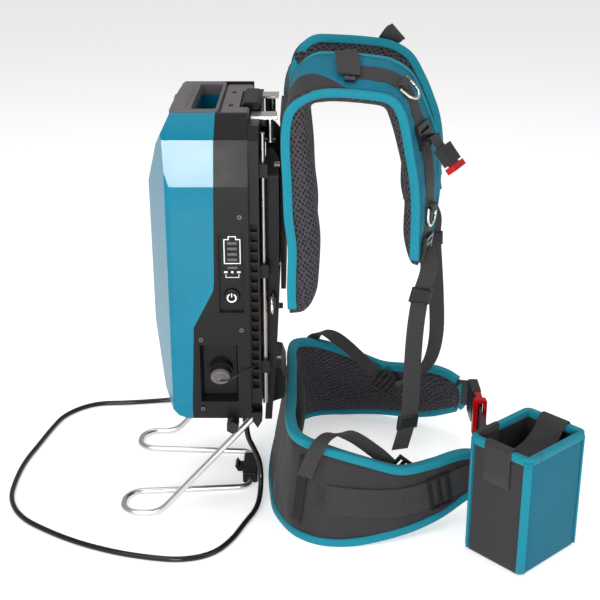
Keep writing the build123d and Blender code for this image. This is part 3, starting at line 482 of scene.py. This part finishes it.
cell_wrap = moulded("cell_wrap", (0.03, 0.16, 0.30, 1), rough=0.3, coat=0.3)
board = moulded("board_green", (0.01, 0.09, 0.03, 1), rough=0.4)

FINISHES = {
    "rear_cover": teal_gloss, "handle_tray": teal_gloss, "main_case": case_black, "rib_frame": black,
    "carry_handle": grip_grey, "top_deck": grip_grey, "top_cleat": black, "gauge_bezel": case_black,
    "gauge_markings": white_print, "charge_lamps": lamp_grey, "power_button": case_black, "socket_bezel": black,
    "output_socket": hardware, "socket_cap": grip_grey, "battery_cells": cell_wrap, "cell_carriers": black,
    "control_board": board, "corner_bumpers": hardware, "screws": dark_steel, "stand_wire": steel,
    "foot_clamp": black, "stand_brackets": black, "frame_rails": rail_steel, "rail_clips": black,
    "back_plate": black, "hip_bracket": black, "harness_bracket": steel, "lifter_ring": nickel,
    "strap_ring": nickel, "frame_ring": nickel, "ring_keepers": web_solid, "near_sternum_slider": hardware,
    "far_sternum_slider": hardware, "near_sternum_webbing": web_solid, "far_sternum_webbing": web_solid,
    "sternum_buckle_body": hardware, "sternum_release_button": red, "sternum_buckle_clip": hardware,
    "ladder_locks": hardware, "waist_buckle_body": hardware, "waist_buckle_latch": hardware,
    "waist_release_button": red, "cord_gland": hardware, "connector_relief": rubber,
    "connector_body": hardware, "connector_ring": nickel,
}
for name, finish in FINISHES.items():
    NODES[name].data.materials.clear()
    NODES[name].data.materials.append(finish)

# ---- power cord --------------------------------------------------------------------------------------------
CORD_ACROSS = 0.007
# From the gland under the case down to the floor, round the loop and up to the connector.
CORD_ROUTE = points_mm([
    (-1.5, -70, 112), (-1.5, -70, 92), (8, -64, 69), (15.5, -57, 44), (16, -70, 14), (12, -100, 3.6),
    (-3, -136, 3.6), (-16, -173, 3.6), (-38, -205, 3.6), (-75, -217, 3.6), (-119, -210, 3.6),
    (-158, -199, 3.6), (-204, -179, 3.6), (-246, -153, 3.6), (-286, -122, 3.6), (-309, -78, 3.6),
    (-313, -30, 3.6), (-312, 20, 3.6), (-303, 70, 3.6), (-295, 118, 3.6), (-284, 166, 3.6), (-247, 203, 3.6),
    (-196, 205, 3.6), (-150, 212, 3.6), (-114, 215, 5.5), (-88, 219, 10.5), (-68, 219, 10.5)])
curve = bpy.data.curves.new("power_cord_line", "CURVE")
curve.dimensions = "3D"
line = curve.splines.new("NURBS")
line.points.add(len(CORD_ROUTE) - 1)
for control, point in zip(line.points, CORD_ROUTE):
    control.co = (*point, 1)
line.order_u = 3
line.use_endpoint_u = True
line.resolution_u = 12
curve.bevel_depth, curve.bevel_resolution = CORD_ACROSS / 2, 4
curve.materials.append(rubber)
cord = bpy.data.objects.new("power_cord_line", curve)
bpy.context.scene.collection.objects.link(cord)
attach(cord, "unit")
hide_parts("power_cord")


# ---- shoulder straps ---------------------------------------------------------------------------------------
STRAP_OUT, STRAP_IN = 131.0, 69.0
FAR_REACH = 14.0                         # how much further forward the far strap hangs, in mm
STRAP_STEPS = 8                          # frames from each edge point to the next
WEB_START, WEB_END = 84, 19 * STRAP_STEPS    # frames at the lifter bar and at the strap's tip
WEB_THICK, NARROW_WEB, BROAD_WEB = 0.0016, 0.025, 0.038
# Edges of the outward face as (x, z), from the foot of the back pad, over the shoulder and down the front.
INNER_EDGE = [(57, 281), (55, 318), (56, 362), (52, 400), (51, 440), (50, 476), (54, 503), (56, 535), (67, 560),
              (84, 573), (107, 574), (146, 571), (171, 566), (192, 552), (206, 527), (217, 500), (226, 470),
              (230, 430), (226, 380), (216, 340)]
OUTER_EDGE = [(54, 280), (53, 316), (54, 362), (50, 399), (48.5, 440), (47, 470), (47, 496), (51, 518),
              (61, 531), (80, 540), (104, 543), (144, 540), (166, 535), (178, 522), (185, 501), (190, 475),
              (195, 450), (199, 419), (200, 378), (200, 338)]
DEPTH = [33, 36, 37, 37, 36, 34, 30, 26, 25, 26, 26, 26, 26, 25, 25, 24, 24, 24, 24, 18]


def strap_edges(side, reach):
    """Smooth inner and outer edge of a strap's outward face, with its depth at each point."""
    def forward(x):
        return x + reach * max(x - 100, 0) / 100
    inner = spline([Vector((forward(x), side * STRAP_IN, z)) * MM for x, z in INNER_EDGE], STRAP_STEPS)
    outer = spline([Vector((forward(x), side * STRAP_OUT, z)) * MM for x, z in OUTER_EDGE], STRAP_STEPS)
    depth = [v.x * MM for v in spline([Vector((d, 0, 0)) for d in DEPTH], STRAP_STEPS)]
    return inner, outer, depth


def strap_frames(inner, outer, side):
    """Middle, direction across, direction along and outward normal at each point of a strap."""
    middles = [(a + b) / 2 for a, b in zip(inner, outer)]
    frames = []
    for i, middle in enumerate(middles):
        along = (middles[min(i + 1, len(middles) - 1)] - middles[max(i - 1, 0)]).normalized()
        across = outer[i] - inner[i]
        across = across - along * across.dot(along)
        normal = (along.cross(across) * side).normalized()
        frames.append((middle, across.normalized(), along, normal))
    return frames


def strap(name, side, reach):
    """Padded shoulder strap with its back pad: outer cloth, teal binding along both edges and mesh lining."""
    inner, outer, depth = strap_edges(side, reach)
    frames = strap_frames(inner, outer, side)
    rings = []
    last = len(frames) - 1
    for i, (middle, across, along, normal) in enumerate(frames):
        half = (outer[i] - inner[i]).length / 2 - 0.0015
        # The pad swells up over its first nine frames and thins again over its last eight.
        foot, tip = min(1, (i + 0.6) / 9), min(1, (last - i + 0.6) / 8)
        taper = (1 - (1 - foot) ** 2) ** 0.5 * (1 - (1 - tip) ** 2) ** 0.5
        deep = depth[i] * (0.35 + 0.65 * taper)
        half *= 0.62 + 0.38 * taper
        wrinkle = 0.0007 * sin(i * 0.9 + 1.3 * side) + 0.0006 * sin(i * 0.37)
        rings.append(pad_ring(middle, across, normal, half, deep, wrinkle))
    made = skin(name, rings, [strap_face, mesh_cloth], pick=outer_first)
    finish_piece(made, "unit")
    for edge, label in ((inner, "inner"), (outer, "outer")):
        sign = -1 if label == "inner" else 1
        used = range(2, last - 1, 2)
        line_points = [edge[i] - frames[i][3] * 0.0035 - frames[i][1] * (sign * 0.0012) for i in used]
        normals = [frames[i][3] * 0.85 + frames[i][1] * (sign * 0.05) for i in used]
        ribbon(f"{name}_{label}_binding", line_points, normals, 0.0105, 0.0042, binding,
               steps=2)
    return made, frames


strap_places = {}
for label, side, reach in (("near", -1, 0.0), ("far", 1, FAR_REACH)):
    padded_strap, strap_places[label] = strap(f"{label}_strap_pad", side, reach)
    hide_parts(f"{label}_shoulder_strap", *(["back_padding"] if label == "near" else []))

    top = strap_places[label][WEB_START:WEB_END + 1:4]
    made = ribbon(f"{label}_strap_web", [f[0] + f[3] * 0.0014 for f in top], [f[1] for f in top], NARROW_WEB,
                  0.0011, web, steps=3)
    if label == "near":
        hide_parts("strap_webbing")
    seam_lines = [[f[0] + f[3] * 0.0015 + f[1] * (edge * 0.0105) for f in top] for edge in (-1, 1)]
    stitches(f"{label}_strap_stitching", seam_lines, "unit", thread)

YOKE_SECTION = [(43.5, 290), (43.5, 395), (43.5, 500), (49.5, 500), (49.5, 395), (49.5, 290)]
yoke = [points_mm([(x, y, z) for x, z in YOKE_SECTION]) for y in (-66, -33, 0, 33, 66)]
finish_piece(skin("yoke_panel", yoke, [cloth]), "unit", smooth=False)

# ---- hip belt ----------------------------------------------------------------------------------------------
# Lower and upper edge of the belt's outward face, from its near front end round to the middle of the back.
BELT = [((300, -112, 42), (302, -108, 86)), ((262, -128, 28), (270, -126, 98)),
        ((225, -150, 16), (235, -141, 94)), ((185, -170, 9), (190, -156, 93)),
        ((140, -181, 2), (130, -165, 110)), ((95, -178, 1), (87, -160, 123)), ((58, -152, 1), (58, -142, 132)),
        ((36, -110, 2), (51, -106, 136)), ((29, -60, 3), (52, -60, 136)), ((26, 0, 3), (52, 0, 136))]
BELT_STEPS = 8                           # frames from each pair of edge points to the next
far_half = [((a[0], -a[1], a[2]), (b[0], -b[1], b[2])) for a, b in reversed(BELT[:-1])]
low_edge = spline(points_mm([a for a, b in BELT + far_half]), BELT_STEPS)
high_edge = spline(points_mm([b for a, b in BELT + far_half]), BELT_STEPS)
belt_frames, belt_rings = [], []
last = len(low_edge) - 1
for i, (low, high) in enumerate(zip(low_edge, high_edge)):
    before, after = max(i - 1, 0), min(i + 1, last)
    along = (low_edge[after] + high_edge[after] - low_edge[before] - high_edge[before]).normalized()
    up = high - low
    up = (up - along * up.dot(along)).normalized()
    normal = up.cross(along).normalized()
    belt_frames.append(((low + high) / 2, up, along, normal))
    end_taper = min(1, (min(i, last - i) + 0.5) / 6)
    taper = (1 - (1 - end_taper) ** 2) ** 0.5
    half = (high - low).length / 2 - 0.0015
    wrinkle = 0.0010 * sin(i * 0.55) + 0.0007 * sin(i * 1.31 + 0.6)
    belt_rings.append(pad_ring((low + high) / 2, up, normal, half * (0.8 + 0.2 * taper),
                               0.014 * (0.4 + 0.6 * taper), wrinkle, seam_depth=0.22))
hip_belt = skin("hip_belt_pad", belt_rings, [cloth, mesh_cloth], pick=outer_first)
finish_piece(hip_belt, "unit")
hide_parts("near_belt_wing", "lumbar_pad", "far_belt_wing")


def belt_binding(name, centres, normals):
    """Binding sewn round an edge of the belt."""
    ribbon(name, centres, normals, 0.0128, 0.0098, binding, steps=3)


for label, edge_point, sign in (("low", 0, -1), ("high", ACROSS_FACES, 1)):
    used = range(1, last, 3)
    centres = [belt_rings[i][edge_point] - belt_frames[i][3] * 0.0040 - belt_frames[i][1] * (sign * 0.0018)
               for i in used]
    belt_binding(f"belt_{label}_binding", centres, [belt_frames[i][3] for i in used])
for label, i, j in (("near", 0, 2), ("far", last, last - 2)):
    middle, up, along, normal = belt_frames[i]
    half = (belt_rings[i][ACROSS_FACES] - belt_rings[i][0]).length / 2
    inward = (belt_frames[j][0] - middle).normalized()
    centres = [middle + up * (half * t) + inward * (0.006 * t ** 4 - 0.001) - normal * 0.004
               for t in (-1, -0.8, -0.4, 0, 0.4, 0.8, 1)]
    belt_binding(f"{label}_belt_end_binding", centres, [normal] * len(centres))

# Lumbar cushion inside the back of the belt.
LUMBAR_SPANS = 24
lumbar_rings = []
for k in range(LUMBAR_SPANS + 1):
    t = -1 + 2 * k / LUMBAR_SPANS
    plump = (1 - abs(t) ** 3.2) ** 0.5 if abs(t) < 1 else 0.05
    middle = Vector((0.046 + 0.003 * t * t, 0.082 * t, 0.071))
    lumbar_rings.append(pad_ring(middle, Vector((0.16, 0, 1)).normalized(), Vector((-1, 0, 0)),
                                 0.030 + 0.029 * plump, 0.006 + 0.018 * plump, 0.0, seam_depth=0.16))
lumbar = finish_piece(skin("lumbar_cushion", lumbar_rings, [lining, lining]), "unit")

# ---- webbing on the belt -----------------------------------------------------------------------------------
def wing_frame(side, i):
    """Frame of the belt, counted from its near end for side -1 and from its far end for side 1."""
    return belt_frames[i if side < 0 else last - i]


# The belt webbing comes from the waist buckle: each half first passes these places in mm.
for label, side, starts in (("near", -1, [(305, 5.6, 84), (305.5, -34, 81), (306.4, -78, 76)]),
                            ("far", 1, [(305, 70.4, 84)])):
    used = [wing_frame(side, i) for i in range(3, 43, 4)]
    centres = points_mm(starts) + [f[0] + f[3] * 0.0026 for f in used]
    sides = [Vector((0, 0, 1))] * len(starts) + [f[1] for f in used]
    made = ribbon(f"{label}_belt_web", centres, sides, 0.036, WEB_THICK, web, steps=4)
    if label == "near":
        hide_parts("belt_webbing")
    rows = []
    for i in (38, 41):
        f = wing_frame(side, i)
        rows.append([f[0] + f[3] * 0.0036 + f[1] * (0.016 * t) for t in (-1, 0, 1)])
    rows.append([rows[0][0], rows[1][2]])
    rows.append([rows[0][2], rows[1][0]])
    stitches(f"{label}_belt_patch_stitching", rows, "unit", thread)
    f = wing_frame(side, 45)
    flap = [f[0] + f[1] * (0.046 * t) + f[3] * (0.0030 + 0.001 * t * t) for t in (-1, -0.4, 0.4, 1)]
    ribbon(f"{label}_belt_flap", flap, [f[2]] * 4, 0.014, 0.0022, lining, steps=3)
    hem = [[f[0] + f[1] * (0.045 * t) + f[3] * 0.0046 + f[2] * (edge * 0.0055) for t in (-1, 0, 1)]
           for edge in (-1, 1)]
    stitches(f"{label}_belt_flap_stitching", hem, "unit", thread)

# Ladder lock on the outer face of each wing, where the belt webbing is taken in.
LOCK_FRAME = 15
LOCK_BARS = [((-15, 19, 3.4), (15, 22, 7.0)), ((-15, -22, 3.4), (15, -19, 7.0))]
LOCK_BARS += [((x - 2, -19, 3.4), (x + 2, 19, 6.4)) for x in (-13, 0, 13)]
for label, side in (("near", -1), ("far", 1)):
    f = wing_frame(side, LOCK_FRAME)
    bars(f"{label}_belt_lock", (f[0], f[2], f[1], f[3]), LOCK_BARS, hardware)

# Webbing that hangs from each strap lock down to the belt.
NEAR_WEB = [(212, 103, 355), (217, 112, 334), (208, 116, 300), (203, 118, 258), (201, 119, 205),
            (201, 118, 172), (198, 116, 135), (190, 113, 96)]
FAR_WEB = [(229, 103, 355), (246, 108, 330), (247, 106, 298), (255, 108, 212), (257, 110, 152),
           (247, 112, 110), (222, 113, 88), (204, 113, 78)]
# Each stabiliser station is its middle and the direction of its width.
STABILISER = [((72, 174, 92), (0.8, 0, -0.6)), ((84, 171, 122), (0.9, 0.1, -0.4)),
              ((100, 160, 139), (0.5, 0.8, 0)), ((126, 143, 131), (0.6, 0.2, 0.7)),
              ((158, 134, 104), (0.62, 0, 0.75)), ((178, 132, 84), (0.62, 0, 0.75))]
for label, side, route in (("near", -1, NEAR_WEB), ("far", 1, FAR_WEB)):
    centres = points_mm([(x, side * y, z) for x, y, z in route])
    broad = [Vector((22, 12, 0)).normalized()] * len(centres)
    made = ribbon(f"{label}_hip_web", centres, broad, NARROW_WEB, WEB_THICK, web, steps=6)
    if label == "near":
        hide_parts("hip_webbing")
    for k in (2, 6):
        here = centres[k]
        reach_up = (centres[k - 1] - here).normalized() * 0.009
        ribbon(f"{label}_hip_keeper_{k}", [here - reach_up, here, here + reach_up], broad[:3], 0.0290, 0.0056,
               hardware, steps=3)
    middles = points_mm([(x, side * (y + 0.6), z) for (x, y, z), width in STABILISER])
    widths = [Vector((a, side * b, c)) for place, (a, b, c) in STABILISER]
    ribbon(f"{label}_stabiliser", middles, widths, 0.018, WEB_THICK, web, steps=6)

# ---- adapter pouch -----------------------------------------------------------------------------------------
POUCH_MIDDLE, POUCH_TURN = Vector((0.333, -0.180, 0)), radians(42)
POUCH_U = Vector((cos(POUCH_TURN), sin(POUCH_TURN), 0))
POUCH_V = Vector((-sin(POUCH_TURN), cos(POUCH_TURN), 0))
HALF_LONG, HALF_WIDE, POUCH_HIGH = 0.054, 0.0425, 0.153
SIDE_POINTS, CORNER_POINTS = 7, 4


def in_pouch(x, y, z):
    return POUCH_MIDDLE + POUCH_U * x + POUCH_V * y + Vector((0, 0, z))


def pouch_loop(inset, z, bulge=0.0, corner=0.008):
    """Loop of points round the pouch, drawn in by inset. It starts on the long wall at local -Y."""
    a, b = HALF_LONG - inset, HALF_WIDE - inset
    corner = max(0.002, corner - inset)
    loop = []
    for side in range(4):
        run, off = (a, b) if side % 2 == 0 else (b, a)
        turn = side * pi / 2
        for k in range(SIDE_POINTS):
            t = -1 + 2 * k / (SIDE_POINTS - 1)
            x, y = t * (run - corner), -(off + bulge * (1 - t * t))
            loop.append((x * cos(turn) - y * sin(turn), x * sin(turn) + y * cos(turn)))
        for k in range(1, CORNER_POINTS):
            bend = -pi / 2 + k * pi / 2 / CORNER_POINTS
            x, y = run - corner + corner * cos(bend), -(off - corner) + corner * sin(bend)
            loop.append((x * cos(turn) - y * sin(turn), x * sin(turn) + y * cos(turn)))
    return [in_pouch(x, y, z) for x, y in loop]


pouch_rings = [pouch_loop(0.004, 0.0004), pouch_loop(0.001, 0.0018), pouch_loop(0, 0.0055)]
for k in range(1, 14):
    h = k / 14
    sag = 0.0009 * sin(pi * h) + 0.0004 * sin(9 * h + 1)
    pouch_rings.append(pouch_loop(0, 0.0055 + h * 0.1435, sag))
pouch_rings += [pouch_loop(0, 0.149), pouch_loop(0.0008, POUCH_HIGH - 0.0012), pouch_loop(0.0025, POUCH_HIGH)]
OUTSIDE_RINGS = len(pouch_rings)
pouch_rings += [pouch_loop(0.0044, POUCH_HIGH - 0.0012), pouch_loop(0.005, 0.147)]
pouch_rings += [pouch_loop(0.005 + 0.001 * sin(pi * k / 6), 0.147 - k * 0.0235) for k in range(1, 7)]
PER_SIDE = SIDE_POINTS + CORNER_POINTS - 1


def pouch_cloth(i, j):
    """0 teal, 1 grey on the wall that has the strap, 2 lining."""
    if i >= OUTSIDE_RINGS:
        return 2
    return 1 if 3 * PER_SIDE <= j < 3 * PER_SIDE + SIDE_POINTS else 0


pouch = skin("pouch_shell", pouch_rings, [teal_cloth, cloth, lining], pick=pouch_cloth)
finish_piece(pouch, "unit")
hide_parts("pouch")
rim = pouch_loop(0.0025, POUCH_HIGH - 0.0040)
rim = rim + rim[:2]
ribbon("pouch_rim_binding", rim, [Vector((0, 0, 1))] * len(rim), 0.0100, 0.0072, binding,
       steps=2)
for k, (x, y) in enumerate(((-1, -1), (1, -1), (-1, 1), (1, 1))):
    a, b = x * (HALF_LONG - 0.0022), y * (HALF_WIDE - 0.0022)
    corner_at = [in_pouch(a, b, z) for z in (0.004, 0.05, 0.1, 0.149)]
    facing = (POUCH_U * -y + POUCH_V * x).normalized()
    ribbon(f"pouch_corner_binding_{k}", corner_at, [facing] * 4, 0.0105, 0.0026, binding,
           steps=2)

END, SIDE_WALL, RIM = 0.0546, 0.0431, 0.154
# The mouth strap, as (along the pouch, height): it sags across the mouth between the two end walls.
MOUTH = [(-END - 0.0008, 0.106), (-END - 0.0008, RIM - 0.006), (-END, RIM - 0.0006),
         (-END + 0.0028, RIM + 0.0016), (-END + 0.0070, RIM), (-END + 0.013, RIM - 0.006), (-0.034, 0.135),
         (-0.008, 0.125), (0.016, 0.127), (0.036, 0.139), (END - 0.013, RIM - 0.006), (END - 0.0070, RIM),
         (END - 0.0028, RIM + 0.0016), (END, RIM - 0.0006), (END, RIM - 0.006), (END, 0.128)]
# The belt loop, as (across the pouch, height): up a long wall, over the rim and down inside.
LOOP = [(SIDE_WALL, 0.096), (SIDE_WALL, RIM - 0.006), (SIDE_WALL, RIM - 0.0006),
        (SIDE_WALL - 0.0031, RIM + 0.0016), (SIDE_WALL - 0.0062, RIM - 0.0006),
        (SIDE_WALL - 0.0064, RIM - 0.006), (SIDE_WALL - 0.0066, 0.092)]
mouth_strap = ribbon("pouch_mouth_strap", [in_pouch(x, 0, z) for x, z in MOUTH], [POUCH_V] * len(MOUTH),
                     BROAD_WEB, WEB_THICK, web, steps=3, raised=0.0010)
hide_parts("pouch_straps")
ribbon("pouch_belt_loop", [in_pouch(-0.027, y, z) for y, z in LOOP], [POUCH_U] * len(LOOP), BROAD_WEB,
       WEB_THICK, web, steps=3)
BOX_HALF = 0.0155                        # half the width of the boxes of stitches that hold the mouth strap
for label, x, low, high in (("grey", -END - 0.0024, 0.109, 0.146), ("far", END + 0.0020, 0.131, 0.146)):
    corners = [in_pouch(x, -BOX_HALF, low), in_pouch(x, BOX_HALF, low), in_pouch(x, BOX_HALF, high),
               in_pouch(x, -BOX_HALF, high)]
    lines = [corners + corners[:1], [corners[0], corners[2]], [corners[1], corners[3]]]
    stitches(f"pouch_{label}_stitching", lines, "unit", thread)

# ---- lifter tabs -------------------------------------------------------------------------------------------
# Each runs across its strap and stands up over the inner edge: the strap's frame, then the tab's places as
# (across, off the face, along) in mm.
LIFTER_TABS = {"near": (83, [(11, 5.8, 0), (0, 6.4, 0), (-15, 6.4, -1), (-28, 9.0, -4)]),
               "far": (94, [(-24, 2.5, 0), (-33, 4, 1), (-37, 9, 4), (-36, 15, 9)])}
for label, (station, route) in LIFTER_TABS.items():
    f = strap_places[label][station]
    centres = [f[0] + (f[1] * a + f[3] * b + f[2] * c) * MM for a, b, c in route]
    ribbon(f"{label}_strap_tab", centres, [f[2]] * len(route), 0.026, 0.0018, web, steps=4)

# ---- small pieces ------------------------------------------------------------------------------------------
# Tether from the socket cap to its anchor on the case.
TETHER = points_mm([(-28.6, -131.4, 197.6), (-17, -138.5, 202), (-4, -137, 209), (8, -132, 213),
                    (15, -124.5, 214.5)])
tether = tube("cap_tether_strap", TETHER, 0.0010, hardware, None)
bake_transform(tether)
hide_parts("cap_tether")

# Power icon on the button: a ring that is open at its top, with a bar in the opening.
ICON, ICON_SPANS = Vector((-0.0126, -0.1319, 0.303)), 36
ICON_IN, ICON_OUT, PRINT_DEEP, HALF_OPENING = 0.0041, 0.0057, 0.0006, 0.5
icon_rings = []
for k in range(ICON_SPANS + 1):
    turn = pi / 2 + HALF_OPENING + k / ICON_SPANS * (2 * pi - 2 * HALF_OPENING)
    radial = Vector((cos(turn), 0, sin(turn)))
    section = ((ICON_IN, PRINT_DEEP), (ICON_IN, 0), (ICON_OUT, 0), (ICON_OUT, PRINT_DEEP))
    icon_rings.append([ICON + radial * r + Vector((0, y, 0)) for r, y in section])
finish_piece(skin("power_icon_ring", icon_rings, [white_print]), "power_button", smooth=False)
BAR_HALF = 0.0006
bar = [[ICON + Vector((x, y, z))
        for x, y in ((-BAR_HALF, PRINT_DEEP), (-BAR_HALF, 0), (BAR_HALF, 0), (BAR_HALF, PRINT_DEEP))]
       for z in (0.0008, 0.0058)]
finish_piece(skin("power_icon_bar", bar, [white_print]), "power_button", smooth=False)

# Soft grip over the rear bar of the handle, drawn in at its ends and with one squarer section at its middle.
GRIP_X, GRIP_Z, GRIP_HALF = -0.0715, 0.5055, 0.079
GRIP_REACH, GRIP_RISE = 0.0135, 0.0115
GRIP_SPANS, GRIP_POINTS = 28, 24


def squared(value):
    """A cosine or sine pushed outward, for a section between a circle and a square."""
    return value * abs(value) ** -0.35 if abs(value) > 0.01 else 0


grip_rings = []
for k in range(GRIP_SPANS + 1):
    t = -1 + 2 * k / GRIP_SPANS
    end_in = (1 - abs(t) ** 8) ** 0.5 if abs(t) < 1 else 0.25
    middle, drawn_in = Vector((GRIP_X, GRIP_HALF * t, GRIP_Z)), 0.6 + 0.4 * end_in
    ring = []
    for q in range(GRIP_POINTS):
        x, z = cos(2 * pi * q / GRIP_POINTS), sin(2 * pi * q / GRIP_POINTS)
        if t == 0:
            x, z = squared(x), squared(z)
        ring.append(middle + Vector((x * GRIP_REACH, 0, z * GRIP_RISE)) * drawn_in)
    grip_rings.append(ring)
finish_piece(skin("handle_grip", grip_rings, [grip_grey]), "unit")
